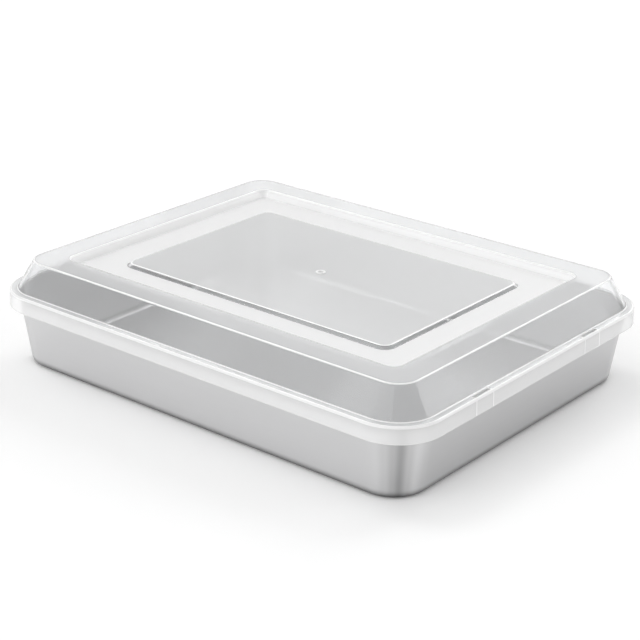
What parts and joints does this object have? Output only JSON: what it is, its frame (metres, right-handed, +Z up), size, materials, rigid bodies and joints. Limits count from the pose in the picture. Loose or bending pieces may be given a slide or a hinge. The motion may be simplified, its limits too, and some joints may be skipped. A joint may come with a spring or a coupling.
{
  "type": "cake pan with lid",
  "caption": "Rectangular cake pan with drafted walls, rounded corners and a rolled rim, under a clear clip-on lid with a stepped dome and a raised centre panel.",
  "frame": {"origin": "centre of the pan's underside, on the surface that it stands on", "axes": "+X along the long side, +Y along the short side, +Z up, the way the lid lifts"},
  "size_m": [0.32, 0.252, 0.0664],
  "materials": {
    "pan": "satin",
    "lid": "clear gloss"
  },
  "bodies": {
    "pan": {"pan": "pan"},
    "lid": {"lid": "lid"}
  },
  "joints": [
    {"name": "lid_lift", "type": "slide", "parent": "pan", "child": "lid", "axis": [0, 0, 1], "range_m": [0, 0.1]}
  ]
}
